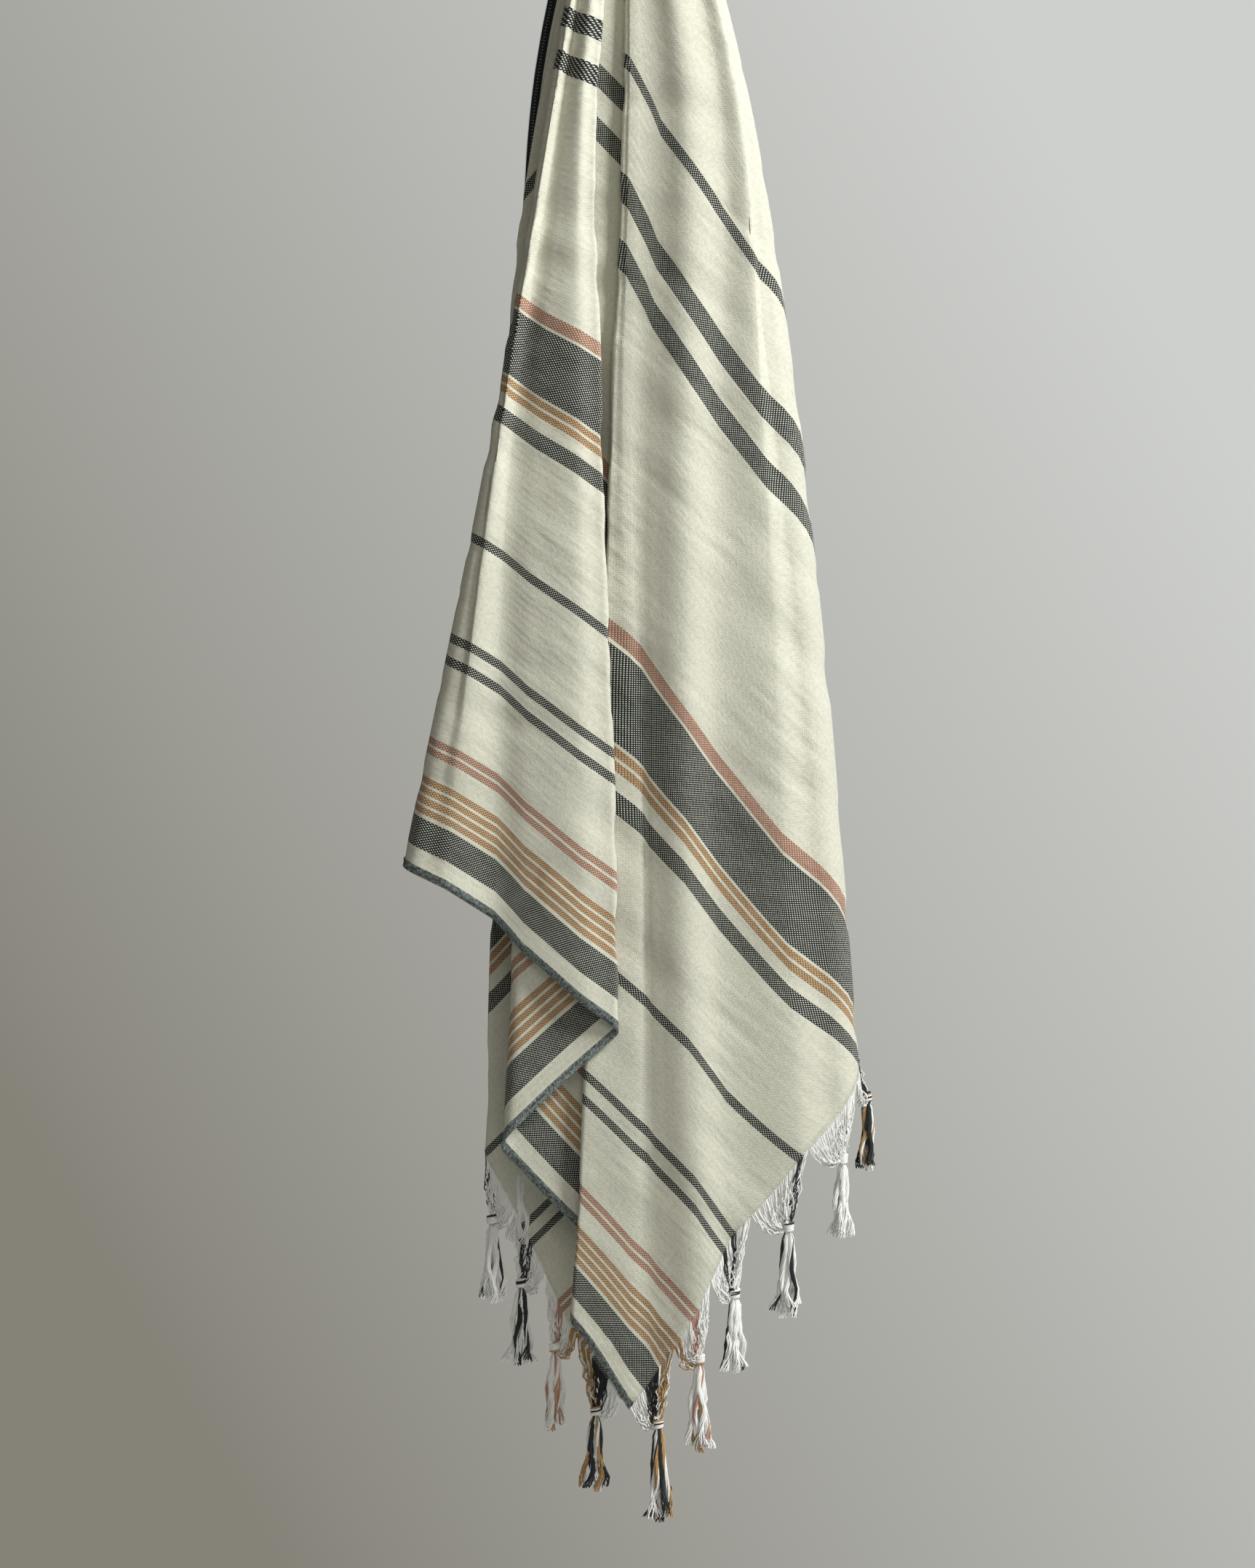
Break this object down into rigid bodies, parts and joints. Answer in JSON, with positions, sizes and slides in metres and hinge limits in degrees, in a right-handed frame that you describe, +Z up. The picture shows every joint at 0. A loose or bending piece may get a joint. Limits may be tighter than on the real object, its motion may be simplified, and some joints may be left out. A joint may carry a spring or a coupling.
{
  "type": "hammam towel",
  "caption": "Flat-woven striped cotton bath towel with knotted fringes on both short ends, hung by the middle of one long edge so that it falls in upright folds.",
  "frame": {"origin": "the hang point: the middle of the long edge that the towel hangs by", "axes": "+Z up, the towel hangs down along -Z; -Y towards the viewer, +Y towards the wall; +X to the viewer's right"},
  "size_m": [0.3741, 0.0997, 1.4327],
  "materials": {
    "woven_cotton": "matt flat weave, cream with charcoal, ochre and pink stripes",
    "cotton_yarn": "loose twisted warp yarns, knotted"
  },
  "bodies": {
    "root": {"towel_cloth": "woven_cotton", "fringe_front": "cotton_yarn", "fringe_back": "cotton_yarn"}
  },
  "joints": []
}
